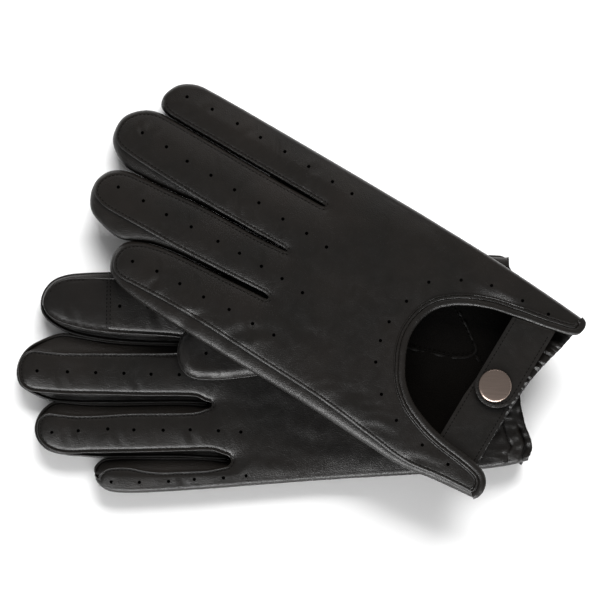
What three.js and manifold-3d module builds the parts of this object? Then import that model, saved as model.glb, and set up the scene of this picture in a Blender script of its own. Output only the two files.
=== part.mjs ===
// A pair of leather driving gloves at rest on a table, in millimetres, +Z up.
// The right glove lies palm up on the table. The left glove lies across it, back of the hand up, and
// can be lifted off. Each glove has a back with a keyhole opening, a palm with a set-in thumb, six side
// strips between the fingers, a bound keyhole, a wrist strap that closes on a tab with a snap fastener,
// and an elastic gather under a facing at the wrist.
//
// Every piece is first made in glove space: x runs from the wrist (0) to the fingertips, y runs across
// from the index side (-) to the little-finger side (+), and z runs from the palm's outer face (0) to
// the back's outer face (THICKNESS). The function lay() then turns a glove over if it lies palm up and
// drapes it over what it rests on.
import * as THREE from "three";
import { mergeVertices } from "three/addons/utils/BufferGeometryUtils.js";
import Module from "manifold-3d";

const wasm = await Module();
wasm.setup();

// Driving dimensions.
const THICKNESS = 12; // palm to back, outside, of a glove lying flat
const LEATHER = 1.0;
const GAP = 0.3; // left between separate pieces that touch
const TIP_GAP = 0.6; // from a finger's middle line to the end of each of its two side walls
const WALL = 0.9; // leather of a side strip
const CROWN_UP = 2.2; // how far the upper face falls from its middle to its seams
const CROWN_DOWN = 0.8; // the same on the face that lies down
const CROWN_REACH = 9; // distance from a seam over which a face rounds off
const FLAT_CUFF = [20, 60]; // the faces have no crown before the first x, and all of it after the second
const GRID = [13, 12]; // cell of the sheets that the faces are made of
const LENGTH = 240;
const WIDTH = 120;

// Wrist closure, in glove space.
const SNAP = [21.5, -1]; // centre of the snap
const STRAP_X = [10.4, 30.6]; // the strap's two long edges
const STRAP_ROOT = -31.4; // where the strap leaves the index side
const TAB_X = [10.2, 31.2];
const TAB_ROOT = 36;
const TAB_TIP = -9;
const TAB_INSET = 1.2; // the tab's free end is this much narrower on each edge, hidden under the strap
const STRAP_LAYERS = { outer: [11.9, 12.7], lining: [10.9, 11.6] };
const TAB_LAYERS = { outer: [7.8, 8.6], lining: [6.9, 7.5] };
const RIVET_HOLE = 2.0;

const LEATHER_BLACK = { color: 0x262422, roughness: 0.5, metalness: 0 };
const LEATHER_INSIDE = { color: 0x121110, roughness: 0.9, metalness: 0 };
const TOUCH_LEATHER = { color: 0x242221, roughness: 0.45, metalness: 0 };
const METAL_CAP = { color: 0x8a7768, roughness: 0.3, metalness: 1 };
const METAL_BACK = { color: 0x6d6a66, roughness: 0.35, metalness: 1 };
const ELASTIC = { color: 0x161515, roughness: 0.9, metalness: 0 };

// A finger outline is a tapered capsule: centre and half width at its base and at its tip, and on one
// side an optional flare, the extra width that a side strip has past the next finger's tip.
const capsule = (base, baseHalf, tip, tipHalf, flare = 0) => ({ base, baseHalf, tip, tipHalf, flare });

// For each finger: the outline of its face that lies up, and its whole width with the side strips.
const LEFT = {
  name: "left",
  palmUp: false,
  fingers: [
    { face: capsule([131, -42.1], 9.4, [220.3, -41.6], 9.4), whole: capsule([131, -41.4], 10.1, [220.7, -41.0], 10.0) },
    { face: capsule([136, -17.4], 12.1, [231.6, -17.8], 11.9), whole: capsule([136, -17.7], 12.6, [232.4, -15.2], 15.0) },
    { face: capsule([136, 6.4], 10.0, [226.8, 10.8], 9.8), whole: capsule([136, 6.9], 10.4, [227.5, 12.6], 12.0, 5.0) },
    { face: capsule([132, 31.6], 12.3, [202.2, 34.2], 10.8), whole: capsule([132, 35.2], 15.1, [203, 35.9], 11.4) },
  ],
  thumb: capsule([86, -33], 13, [147, -31], 12.5),
  tipPatch: { x: 188.5, y: [-61.6, -30.4], turn: 0 },
  cuff: (y) => 9 - 9 * Math.min(1, Math.abs(y) / 45) ** 2.5,
  // Raised on the other glove and its thumb, lower at the wrist, the fingers down to the table.
  base: (x, y) =>
    ramp(
      18.5 +
        4.5 * THREE.MathUtils.smoothstep(x, 25, 90) -
        0.185 * ramp(x - 0.5 * y - 122, 22) -
        0.0025 * Math.max(0, -y - 10) ** 2 * THREE.MathUtils.smoothstep(x, 40, 110),
      2,
    ),
  position: [107.59, -56.79],
  turn: 149.1,
};
const RIGHT = {
  name: "right",
  palmUp: true,
  fingers: [
    { face: capsule([142, -33.6], 14.4, [219.5, -40.5], 11.0), whole: capsule([142, -34.0], 16.8, [220.4, -40.0], 12.4) },
    { face: capsule([148, -2.6], 9.9, [233, -9.2], 9.5), whole: capsule([148, -3.6], 12.6, [233.4, -10.0], 15.2) },
    { face: capsule([148, 23.8], 8.8, [226, 21.3], 8.8), whole: capsule([148, 22.9], 12.2, [226.7, 19.0], 12.6) },
    { face: capsule([141, 46.4], 4.5, [200.5, 43.6], 6.7), whole: capsule([141, 43.6], 7.1, [200.7, 42.0], 8.2) },
  ],
  thumb: capsule([86, -21], 15, [145, -13], 13.2),
  tipPatch: { x: 188.5, y: [-62, -22], turn: -5 },
  cuff: (y) => 3.5 - 5.5 * Math.min(1, Math.abs(y) / 42) ** 5,
  // Flat on the table, lifted at the wrist where it lies on its snap.
  base: (x) => 2.6 * (1 - THREE.MathUtils.smoothstep(x, 45, 110)),
  position: [103.19, -33.64],
  turn: 183.5,
};

// Side outlines of the hand, wrist to fingers.
const INDEX_SIDE = [[2, -47.8], [20, -48.9], [50, -50.2], [90, -51.2], [125, -51.5]];
const LITTLE_SIDE = [[3, 48.2], [20, 49.8], [38, 52.2], [60, 52.4], [90, 51.2], [125, 50.4]];
const LITTLE_SEAM = [[3, 48.2], [20, 49.6], [38, 50.2], [60, 48.0], [90, 45.4], [125, 44.0]];
const PALM_SEAM = [[3, -45.5], [20, -46.2], [50, -47.4], [90, -48.4], [125, -48.8]];
const SEAM_INSET = 1.5; // how far inside the whole outline the seams of the face that lies down are
const KEYHOLE = [
  [3.0, -40.0], [8, -38.4], [20, -35.6], [33, -32.8], [46, -28.2], [57, -21.5], [64.5, -12],
  [66.3, -2.5], [64, 8.5], [57, 18], [45, 26.5], [30, 32.2], [15, 35.0], [8, 36.4], [3.4, 39.0],
];
const KEYHOLE_STEPS = 22;
const BINDING_FROM = 3; // the tape starts and ends this many steps from the corners of the cuff
const BINDING = { reach: 3.5, cover: 0.6 };
const THUMB_HOLE = 8.5;
const THUMB = { top: -GAP, bottom: -7.8 };
const ELASTIC_BAND = { x: [4.4, 9.0], y: 31, z: [1.3, 1.8] };
const FACING = { margin: 0.8, reach: 9.6, y: 34, z: [2.1, 2.6] };

const CAP_STEPS = 5;
const EDGE_STEPS = 5;
const SIDE_STEPS = 7;

// ---------------------------------------------------------------- small helpers

// A hinge-like ramp: 0 well below 0, x well above, smooth over about `soft` around 0.
function ramp(x, soft) {
  return 0.5 * (x + Math.sqrt(x * x + soft * soft));
}

function smoothCurve(points, steps) {
  const curve = new THREE.SplineCurve(points.map(([x, y]) => new THREE.Vector2(x, y)));
  return curve.getPoints(steps);
}

// Points from a finger's base to its tip along one side: -1 the index side, +1 the little-finger side.
function fingerEdge({ base, baseHalf, tip, tipHalf, flare }, side, inset = 0) {
  const from = new THREE.Vector2(...base);
  const axis = new THREE.Vector2(...tip).sub(from);
  const length = axis.length() - inset;
  axis.normalize();
  const across = new THREE.Vector2(-axis.y, axis.x).multiplyScalar(side);
  const round = tipHalf - inset;
  const at = (s, share) => {
    const half = THREE.MathUtils.lerp(baseHalf, tipHalf, s / length) - inset;
    const extra = side > 0 ? flare * THREE.MathUtils.smoothstep(s / length, 0.66, 0.84) : 0;
    return from.clone().addScaledVector(axis, s).addScaledVector(across, (half + extra) * share);
  };
  const points = [];
  for (let i = 0; i < EDGE_STEPS; i++) points.push(at(((length - round) * i) / EDGE_STEPS, 1));
  for (let i = 0; i <= CAP_STEPS; i++) {
    const angle = (i / CAP_STEPS) * (Math.PI / 2);
    points.push(at(length - round + round * Math.sin(angle), Math.cos(angle)));
  }
  return points;
}

// The outlines of a glove's back and palm, finger by finger.
function backOf(glove, i) {
  const { face, whole } = glove.fingers[i];
  return glove.palmUp ? hiddenFace(whole, i === 0 ? -1 : 0) : face;
}
function palmOf(glove, i) {
  const { face, whole } = glove.fingers[i];
  return glove.palmUp ? face : hiddenFace(whole, i === 3 ? 1 : 0);
}

// The face that lies down: the whole outline drawn in at its seams, but not on a side that is folded.
function hiddenFace({ base, baseHalf, tip, tipHalf }, folded) {
  const shift = (folded * SEAM_INSET) / 2;
  const draw = folded ? SEAM_INSET / 2 : SEAM_INSET;
  return capsule([base[0], base[1] + shift], baseHalf - draw, [tip[0] - draw, tip[1] + shift], tipHalf - draw);
}

// The boundary of a face from the index side of the wrist, round the fingers, to the other side.
function handEdge(glove, fingerOf, indexSide, littleSide) {
  const points = smoothCurve(indexSide, SIDE_STEPS);
  for (let i = 0; i < 4; i++) {
    const finger = fingerOf(glove, i);
    const left = fingerEdge(finger, -1);
    const right = fingerEdge(finger, 1).reverse().slice(1);
    if (i > 0) {
      const last = points[points.length - 1];
      const crotch = last.clone().add(left[0]).multiplyScalar(0.5);
      crotch.x -= 2.5;
      points.push(crotch);
    }
    points.push(...left, ...right);
  }
  return points.concat(smoothCurve(littleSide, SIDE_STEPS).reverse());
}

function distanceTo(line, x, y) {
  let nearest = Infinity;
  for (let i = 1; i < line.length; i++) {
    const a = line[i - 1];
    const b = line[i];
    const dx = b.x - a.x;
    const dy = b.y - a.y;
    const t = THREE.MathUtils.clamp(((x - a.x) * dx + (y - a.y) * dy) / (dx * dx + dy * dy || 1), 0, 1);
    nearest = Math.min(nearest, Math.hypot(x - a.x - t * dx, y - a.y - t * dy));
  }
  return nearest;
}

// How far the crown's edge has fallen at this x: nothing at the wrist, all of it past the keyhole.
function edgeFall(crown, x) {
  return crown * THREE.MathUtils.smoothstep(x, ...FLAT_CUFF);
}
function crownFall(crown, boundary, inside, x, y) {
  const share = inside ? Math.min(1, distanceTo(boundary, x, y) / CROWN_REACH) : 0;
  return edgeFall(crown, x) * (1 - share) ** 2;
}

function insideOf(line, x, y) {
  let inside = false;
  for (let i = 0, j = line.length - 1; i < line.length; j = i++) {
    const a = line[i];
    const b = line[j];
    if (a.y > y !== b.y > y && x < ((b.x - a.x) * (y - a.y)) / (b.y - a.y) + a.x) inside = !inside;
  }
  return inside;
}

// ---------------------------------------------------------------- geometry and solids

// Turns every triangle round if the geometry's faces point in.
function facingOut(geometry) {
  const p = geometry.attributes.position;
  const index = geometry.index.array;
  const [a, b, c] = [new THREE.Vector3(), new THREE.Vector3(), new THREE.Vector3()];
  let volume = 0;
  for (let i = 0; i < index.length; i += 3) {
    a.fromBufferAttribute(p, index[i]);
    b.fromBufferAttribute(p, index[i + 1]);
    c.fromBufferAttribute(p, index[i + 2]);
    volume += a.dot(b.cross(c));
  }
  if (volume < 0) {
    for (let i = 0; i < index.length; i += 3) [index[i + 1], index[i + 2]] = [index[i + 2], index[i + 1]];
  }
  return geometry;
}

function positionsOnly(geometry) {
  const bare = new THREE.BufferGeometry().setAttribute("position", geometry.getAttribute("position").clone());
  if (geometry.index) bare.setIndex(geometry.index.clone());
  return mergeVertices(bare, 1e-4);
}

function solid(geometry) {
  const merged = facingOut(positionsOnly(geometry));
  const vertProperties = new Float32Array(merged.attributes.position.array);
  const triVerts = new Uint32Array(merged.index.array);
  return new wasm.Manifold(new wasm.Mesh({ numProp: 3, vertProperties, triVerts }));
}

function geometryOf(manifold) {
  const mesh = manifold.getMesh();
  const positions = new Float32Array(mesh.numVert * 3);
  for (let i = 0; i < mesh.numVert; i++) {
    positions.set(mesh.vertProperties.subarray(i * mesh.numProp, i * mesh.numProp + 3), i * 3);
  }
  return new THREE.BufferGeometry()
    .setAttribute("position", new THREE.BufferAttribute(positions, 3))
    .setIndex(new THREE.BufferAttribute(mesh.triVerts, 1));
}

// A prism of a closed outline between two heights.
function prism(points, low, high, holes = []) {
  const shape = new THREE.Shape(points);
  shape.holes = holes.map((hole) => new THREE.Path(hole));
  return new THREE.ExtrudeGeometry(shape, { depth: high - low, bevelEnabled: false }).translate(0, 0, low);
}

function block(x, y, z) {
  return new THREE.BoxGeometry(x[1] - x[0], y[1] - y[0], z[1] - z[0]).translate(
    (x[0] + x[1]) / 2,
    (y[0] + y[1]) / 2,
    (z[0] + z[1]) / 2,
  );
}

function drum(x, y, radius, low, high, sides = 16) {
  return new THREE.CylinderGeometry(radius, radius, high - low, sides)
    .rotateX(Math.PI / 2)
    .translate(x, y, (low + high) / 2);
}

// A closed body through rings of points; every ring has the same number of points. capOf lists the
// triangles that close an end ring.
function loft(rings, capOf) {
  const n = rings[0].length;
  const positions = rings.flat().flatMap((p) => [p.x, p.y, p.z]);
  const index = [];
  for (let r = 1; r < rings.length; r++) {
    for (let i = 0; i < n; i++) {
      const j = (i + 1) % n;
      const [a, b, c, d] = [(r - 1) * n + i, (r - 1) * n + j, r * n + i, r * n + j];
      index.push(a, b, c, b, d, c);
    }
  }
  const end = (rings.length - 1) * n;
  for (const [a, b, c] of capOf) index.push(a, c, b, end + a, end + b, end + c);
  return new THREE.BufferGeometry()
    .setAttribute("position", new THREE.Float32BufferAttribute(positions, 3))
    .setIndex(index);
}

// A thin wall that runs along three pairs of curves: its top, its bulge and its foot, each outside and
// inside. Each is {line, inner, z}, where z is a height or a function of x.
function wall(top, bulge, foot) {
  const order = [
    [top, "line"], [bulge, "line"], [foot, "line"], [foot, "inner"], [bulge, "inner"], [top, "inner"],
  ];
  const rings = top.line.map((_, i) =>
    order.map(([curve, key]) => {
      const p = curve[key][i];
      return new THREE.Vector3(p.x, p.y, typeof curve.z === "function" ? curve.z(p.x) : curve.z);
    }),
  );
  return loft(rings, [[0, 1, 4], [0, 4, 5], [1, 2, 3], [1, 3, 4]]);
}

// A sheet of leather of this outline. heightOf gives its middle surface.
function sheet(outline, heightOf) {
  const slab = new THREE.BoxGeometry(LENGTH + 20, WIDTH, 2, Math.round((LENGTH + 20) / GRID[0]), Math.round(WIDTH / GRID[1]), 1);
  slab.translate(LENGTH / 2, 0, 0);
  const p = slab.attributes.position;
  for (let i = 0; i < p.count; i++) {
    p.setZ(i, heightOf(p.getX(i), p.getY(i)) + (Math.sign(p.getZ(i)) * LEATHER) / 2);
  }
  return solid(slab).intersect(solid(prism(outline, -30, 50)));
}

// ---------------------------------------------------------------- the pieces of one glove

// The fall of the back's and the palm's edges, depending on which of them lies up.
const backCrown = (glove) => (glove.palmUp ? CROWN_DOWN : CROWN_UP);
const palmCrown = (glove) => (glove.palmUp ? CROWN_UP : CROWN_DOWN);

// Heights at which a side wall meets the two faces, with a gap or, with a negative gap, joined to them.
const underBack = (glove, gap) => (x) => THICKNESS - LEATHER - gap - edgeFall(backCrown(glove), x);
const overPalm = (glove, gap) => (x) => LEATHER + gap + edgeFall(palmCrown(glove), x);

// The side wall of one finger on one side, or of the whole hand where `hand` gives the hand's side
// curves. topGap and footGap are its gaps to the back and to the palm.
function sideWall(glove, i, side, hand, topGap, footGap) {
  const whole = glove.fingers[i].whole;
  const lines = (finger, curve, inset) => {
    const edge = fingerEdge(finger, side, inset);
    edge[edge.length - 1].y += side * TIP_GAP;
    if (!curve) return edge;
    const hem = smoothCurve(curve, SIDE_STEPS).map((p) => new THREE.Vector2(p.x + 1, p.y - side * inset));
    return hem.concat(edge);
  };
  const pair = (finger, curve, inset, z) => ({
    line: lines(finger, curve, inset),
    inner: lines(finger, curve, inset + WALL),
    z,
  });
  const inTop = topGap < 0 ? 0.05 : 0.4;
  const inFoot = footGap < 0 ? 0.05 : 0.4;
  return wall(
    pair(backOf(glove, i), hand?.back, inTop, underBack(glove, topGap)),
    pair(whole, hand?.whole, 0, THICKNESS / 2),
    pair(palmOf(glove, i), hand?.palm, inFoot, overPalm(glove, footGap)),
  );
}

const JOINED = -1.1; // a wall that is one piece with a face reaches this far into it

function backPanel(glove) {
  const edge = handEdge(glove, backOf, INDEX_SIDE, LITTLE_SEAM);
  const outline = edge.concat(smoothCurve(KEYHOLE, KEYHOLE_STEPS).reverse());
  const height = (x, y) =>
    THICKNESS - LEATHER / 2 - crownFall(backCrown(glove), edge, insideOf(edge, x, y), x, y);
  const fold = sideWall(glove, 0, -1, { back: INDEX_SIDE, whole: INDEX_SIDE, palm: PALM_SEAM }, JOINED, GAP);
  return sheet(outline, height).add(solid(fold));
}

function palmSheet(glove) {
  const edge = handEdge(glove, palmOf, PALM_SEAM, LITTLE_SIDE);
  const cuff = [];
  for (let y = 42; y >= -42; y -= 7) cuff.push(new THREE.Vector2(glove.cuff(y), y));
  const height = (x, y) => LEATHER / 2 + crownFall(palmCrown(glove), edge, insideOf(edge, x, y), x, y);
  const [x, y] = glove.thumb.base;
  return sheet(edge.concat(cuff), height).subtract(solid(drum(x, y, THUMB_HOLE, -10, 20)));
}

// The region of the index fingertip, for parting the touch-screen tip from the palm.
function tipRegion({ tipPatch }, from) {
  const middle = (tipPatch.y[0] + tipPatch.y[1]) / 2;
  const half = (tipPatch.y[1] - tipPatch.y[0]) / 2;
  return block([0, 60], [-half, half], [-20, 30])
    .rotateZ(THREE.MathUtils.degToRad(tipPatch.turn))
    .translate(tipPatch.x + from, middle, 0);
}

function palmPanel(glove) {
  const hand = { back: LITTLE_SEAM, whole: LITTLE_SIDE, palm: LITTLE_SIDE };
  const fold = sideWall(glove, 3, 1, hand, GAP, JOINED);
  return palmSheet(glove).subtract(solid(tipRegion(glove, -GAP))).add(solid(fold));
}

function fingertipPatch(glove) {
  return palmSheet(glove).intersect(solid(tipRegion(glove, 0)));
}

// A flattened, tapered capsule, hollow, open to the palm over the thumb hole.
function thumbPiece({ thumb }) {
  const [base, tip] = [new THREE.Vector2(...thumb.base), new THREE.Vector2(...thumb.tip)];
  const length = base.distanceTo(tip);
  const middle = (THUMB.top + THUMB.bottom) / 2;
  const halfHeight = (THUMB.top - THUMB.bottom) / 2;
  const pod = (inset) => {
    const g = new THREE.CapsuleGeometry(1, length, 3, 12, 3);
    const p = g.attributes.position;
    for (let i = 0; i < p.count; i++) {
      const along = THREE.MathUtils.clamp(p.getY(i) / length + 0.5, 0, 1);
      const half = THREE.MathUtils.lerp(thumb.baseHalf, thumb.tipHalf, along) - inset;
      const beyond = p.getY(i) - (along - 0.5) * length;
      p.setXYZ(i, p.getX(i) * half, (along - 0.5) * length + beyond * half, p.getZ(i) * (halfHeight - inset));
    }
    const heading = Math.atan2(tip.y - base.y, tip.x - base.x);
    return g.rotateZ(heading - Math.PI / 2).translate((base.x + tip.x) / 2, (base.y + tip.y) / 2, middle);
  };
  const mouth = drum(...thumb.base, THUMB_HOLE, middle, 5);
  return solid(pod(0)).subtract(solid(pod(LEATHER))).subtract(solid(mouth));
}

// A U-shaped tape round the keyhole's edge.
function keyholeBinding() {
  const { reach, cover } = BINDING;
  const outer = cover + GAP;
  const section = [
    [-reach, THICKNESS + GAP], [GAP, THICKNESS + GAP], [GAP, THICKNESS - LEATHER - GAP],
    [-reach, THICKNESS - LEATHER - GAP], [-reach, THICKNESS - LEATHER - outer], [outer, THICKNESS - LEATHER - outer],
    [outer, THICKNESS + outer], [-reach, THICKNESS + outer],
  ];
  const path = smoothCurve(KEYHOLE, KEYHOLE_STEPS).slice(BINDING_FROM, -BINDING_FROM);
  const rings = path.map((p, i) => {
    const along = path[Math.min(i + 1, path.length - 1)].clone().sub(path[Math.max(i - 1, 0)]).normalize();
    const inward = new THREE.Vector2(-along.y, along.x); // into the opening
    return section.map(([n, z]) => new THREE.Vector3(p.x + inward.x * n, p.y + inward.y * n, z));
  });
  const faces = THREE.ShapeUtils.triangulateShape(section.map(([x, y]) => new THREE.Vector2(x, y)), []);
  return solid(loft(rings, faces));
}

const snapHole = (radius) => {
  const hole = new THREE.Path();
  hole.absarc(...SNAP, radius, 0, 2 * Math.PI, true);
  return hole.getPoints(5);
};

function strapLayer([low, high], inset) {
  const half = (STRAP_X[1] - STRAP_X[0]) / 2 - inset;
  const centre = (STRAP_X[0] + STRAP_X[1]) / 2;
  const shape = new THREE.Shape();
  shape.moveTo(centre + half, STRAP_ROOT);
  shape.absarc(centre, SNAP[1], half, 0, Math.PI, false);
  shape.lineTo(centre - half, STRAP_ROOT);
  return solid(prism(shape.getPoints(7), low, high, [snapHole(RIVET_HOLE)]));
}

function tabLayer([low, high], inset) {
  const [a, b] = [TAB_X[0] + inset, TAB_X[1] - inset];
  const neck = 12;
  const points = [
    [a, TAB_ROOT], [a, neck], [a + TAB_INSET, TAB_TIP + 4], [a + TAB_INSET + 4, TAB_TIP],
    [b - TAB_INSET - 4, TAB_TIP], [b - TAB_INSET, TAB_TIP + 4], [b, neck], [b, TAB_ROOT - 4],
  ].map(([x, y]) => new THREE.Vector2(x, y));
  return solid(prism(points, low, high, [snapHole(RIVET_HOLE)]));
}

// A body of revolution about the snap's axis, from a closed profile of [radius, height].
function turned(profile, sides = 16) {
  const lathe = new THREE.LatheGeometry(profile.map(([r, z]) => new THREE.Vector2(r, z)), sides);
  return solid(lathe.rotateX(Math.PI / 2).translate(SNAP[0], SNAP[1], 0));
}

const SNAP_PARTS = {
  snap_cap: [[0, 9.95], [1.5, 9.95], [1.5, 13.0], [7.3, 13.0], [7.7, 13.4], [7.2, 14.1], [5, 14.4], [0, 14.5]],
  snap_socket: [[1.9, 9.95], [3.6, 9.95], [3.9, 9.7], [3.9, 9.0], [5.1, 9.0], [5.5, 9.4], [5.2, 10.4],
    [1.9, 10.6], [1.9, 9.95]],
  snap_stud: [[0, 9.65], [2.4, 9.65], [3.3, 9.4], [3.0, 8.9], [1.6, 8.9], [1.6, 9.3], [0, 9.3]],
  snap_post: [[0, 6.0], [4.2, 6.0], [4.6, 6.3], [4.2, 6.6], [1.2, 6.6], [1.2, 9.0], [0, 9.0]],
};

function wristElastic(glove) {
  const { x, y, z } = ELASTIC_BAND;
  const shift = glove.cuff(0) - 9 + 1;
  return solid(block([x[0] + shift + 2.5, x[1] + shift + 2.5], [-y, y], z));
}

function cuffFacing(glove) {
  const { margin, reach, y, z } = FACING;
  const edge = [];
  for (let v = -y; v <= y; v += y / 5) edge.push(new THREE.Vector2(glove.cuff(v) + margin, v));
  for (let v = y; v >= -y; v -= y / 5) edge.push(new THREE.Vector2(glove.cuff(v) + margin + reach, v));
  return solid(prism(edge, ...z));
}

// ---------------------------------------------------------------- the gloves

// Turns a glove over if it lies palm up, and sets every point on the surface the glove is draped on.
function lay(geometry, glove) {
  const p = geometry.attributes.position;
  for (let i = 0; i < p.count; i++) {
    const z = glove.palmUp ? THICKNESS - p.getZ(i) : p.getZ(i);
    p.setZ(i, z + glove.base(p.getX(i), p.getY(i)));
  }
  return facingOut(geometry);
}

function makeGlove(glove) {
  const group = new THREE.Group();
  group.position.set(...glove.position, 0);
  group.rotation.z = THREE.MathUtils.degToRad(glove.turn);
  const add = (name, piece, look) => {
    const geometry = lay(geometryOf(piece), glove);
    geometry.computeVertexNormals();
    const mesh = new THREE.Mesh(geometry, new THREE.MeshStandardMaterial(look));
    mesh.name = `${glove.name}_${name}`;
    group.add(mesh);
  };

  add("back_panel", backPanel(glove), LEATHER_BLACK);
  add("palm_panel", palmPanel(glove), LEATHER_BLACK);
  add("index_tip_patch", fingertipPatch(glove), TOUCH_LEATHER);
  add("thumb", thumbPiece(glove), LEATHER_BLACK);
  const strips = [
    ["index_side_strip", 0, 1], ["middle_inner_strip", 1, -1], ["middle_outer_strip", 1, 1],
    ["ring_inner_strip", 2, -1], ["ring_outer_strip", 2, 1], ["little_side_strip", 3, -1],
  ];
  for (const [name, finger, side] of strips) {
    add(name, solid(sideWall(glove, finger, side, null, GAP, GAP)), LEATHER_BLACK);
  }
  add("keyhole_binding", keyholeBinding(), LEATHER_BLACK);
  add("strap", strapLayer(STRAP_LAYERS.outer, 0), LEATHER_BLACK);
  add("strap_lining", strapLayer(STRAP_LAYERS.lining, 0.4), LEATHER_INSIDE);
  add("tab", tabLayer(TAB_LAYERS.outer, 0), LEATHER_BLACK);
  add("tab_lining", tabLayer(TAB_LAYERS.lining, 0.4), LEATHER_INSIDE);
  for (const [name, profile] of Object.entries(SNAP_PARTS)) {
    add(name, turned(profile), name === "snap_cap" ? METAL_CAP : METAL_BACK);
  }
  add("wrist_elastic", wristElastic(glove), ELASTIC);
  add("cuff_facing", cuffFacing(glove), LEATHER_INSIDE);
  return group;
}

const gloves = new THREE.Group();
gloves.add(makeGlove(RIGHT), makeGlove(LEFT));
export default gloves;
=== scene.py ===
"""A pair of leather driving gloves on a pale table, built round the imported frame.

Each glove is made flat, in glove space, in millimetres: x from the wrist to the fingertips, y across
from the index side to the little-finger side, and h the height above the face that the glove lies on.
Glove.lay() then drapes it over what it rests on, turns it to its place and gives metres.
"""
import math

import bmesh
import bpy
import numpy as np
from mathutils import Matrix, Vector, kdtree, noise
from mathutils.geometry import delaunay_2d_cdt


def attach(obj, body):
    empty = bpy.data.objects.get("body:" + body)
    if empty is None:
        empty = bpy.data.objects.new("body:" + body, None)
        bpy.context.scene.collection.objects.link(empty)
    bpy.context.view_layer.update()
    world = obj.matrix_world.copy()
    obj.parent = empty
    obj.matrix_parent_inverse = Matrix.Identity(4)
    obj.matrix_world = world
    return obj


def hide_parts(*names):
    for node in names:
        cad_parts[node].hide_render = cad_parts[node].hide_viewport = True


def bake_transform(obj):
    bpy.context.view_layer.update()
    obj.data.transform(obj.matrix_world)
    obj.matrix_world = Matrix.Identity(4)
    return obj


MM = 0.001
THICKNESS = 12.0  # of a glove lying flat
LEATHER = 0.9  # thickness of the panels' leather
UP_STEP = 1.0  # spacing of points on a face that lies up
DOWN_STEP = 2.4  # and on one that lies down
PERFORATION = 0.8  # radius
HOLE_SIDES = 12
STITCH = {"length": 1.3, "radius": 0.2, "pitch": 1.85}
LEFT_ROW = 1.55  # from the upper face's edge to the stitches of a finger seam
RIGHT_ROW = 1.1
BINDING_ROWS = (2.7, 4.15)  # from the opening's edge to the stitches of the binding
HEM = 9.4  # from the right cuff's edge to the stitches of its hem
HINGE = (20.5, -31.4)  # where the strap opens
STRAP_X = (10.4, 30.6)
TAB_X = (10.2, 31.2)
SNAP = (21.5, -1.0)
TAB_ROOT = 36.5  # y of its sewn end
STRAP_LEVEL = 12.22  # heights over the palm of the middles of the strap, its lining, the tab and its lining
STRAP_LINING_LEVEL = 11.36
TAB_LEVEL = 8.25
TAB_LINING_LEVEL = 7.42
HINGE_LEVEL = 12.7
STRAP_HALF = 0.46  # half of the thickness of the strap, the tab and a lining
TAB_HALF = 0.42
LINING_HALF = 0.36
UNDER_INSET = 1.7  # how far inside the outline the lower face's edge is
LIP_HEIGHT = 5.7  # of the outline's lips over the face that lies down
TIP_CUT = np.array([(187.5, -60.0), (190.6, -18.0)])  # where the fingertip's touch leather ends
TIP_LEATHER = 0.34  # how far that leather stands out
THUMB_HOLE = (145.3, -12.2)  # in the thumb of the right glove
SHARP = math.radians(55)  # faces that meet at a steeper angle than this have a crisp edge
TABLE = 2.6  # half of its width, in metres
CAMERA_CENTRE = (0.64, -5.79)
CAMERA_FIELD = 276.0
CAMERA_HEIGHT = 1.6

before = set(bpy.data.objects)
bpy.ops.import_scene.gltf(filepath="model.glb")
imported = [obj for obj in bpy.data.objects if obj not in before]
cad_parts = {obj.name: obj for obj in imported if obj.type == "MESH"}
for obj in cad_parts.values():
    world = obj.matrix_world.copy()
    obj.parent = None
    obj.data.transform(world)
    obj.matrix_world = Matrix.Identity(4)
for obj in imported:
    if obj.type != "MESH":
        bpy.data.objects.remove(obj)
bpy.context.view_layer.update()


# ---------------------------------------------------------------- curves

def curve(points, step=1.2):
    """A smooth line through the points, with a point about every step."""
    p = np.array(points, float)
    ends = np.vstack([2 * p[0] - p[1], p, 2 * p[-1] - p[-2]])
    line = []
    for i in range(1, len(ends) - 2):
        a, b, c, d = ends[i - 1 : i + 3]
        n = max(1, int(round(np.linalg.norm(c - b) / (0.25 * step))))
        t = np.arange(n)[:, None] / n
        line.append(_catmull(a, b, c, d, t))
    line.append(ends[-2][None])
    return resample(np.vstack(line), step)


def _catmull(a, b, c, d, t):
    """Points between b and c on a centripetal Catmull-Rom curve."""
    k = [0.0]
    for u, v in ((a, b), (b, c), (c, d)):
        k.append(k[-1] + max(np.linalg.norm(v - u), 1e-6) ** 0.5)
    s = k[1] + (k[2] - k[1]) * t
    a1 = (k[1] - s) / (k[1] - k[0]) * a + (s - k[0]) / (k[1] - k[0]) * b
    a2 = (k[2] - s) / (k[2] - k[1]) * b + (s - k[1]) / (k[2] - k[1]) * c
    a3 = (k[3] - s) / (k[3] - k[2]) * c + (s - k[2]) / (k[3] - k[2]) * d
    b1 = (k[2] - s) / (k[2] - k[0]) * a1 + (s - k[0]) / (k[2] - k[0]) * a2
    b2 = (k[3] - s) / (k[3] - k[1]) * a2 + (s - k[1]) / (k[3] - k[1]) * a3
    return (k[2] - s) / (k[2] - k[1]) * b1 + (s - k[1]) / (k[2] - k[1]) * b2


def arc_length(line):
    """The length along a line up to each of its points."""
    return np.concatenate([[0], np.cumsum(np.linalg.norm(np.diff(line, axis=0), axis=1))])


def resample(line, step=None, count=None):
    """A line again, with even spacing: about the step, or the given number of points."""
    s = arc_length(line)
    n = count or max(2, int(round(s[-1] / step)) + 1)
    at = np.linspace(0, s[-1], n)
    return np.column_stack([np.interp(at, s, line[:, k]) for k in range(line.shape[1])])


def normals(line):
    """Unit vectors to the left of a line's direction."""
    t = np.gradient(line[:, :2], axis=0)
    t /= np.linalg.norm(t, axis=1)[:, None] + 1e-12
    return np.column_stack([-t[:, 1], t[:, 0]])


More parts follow.
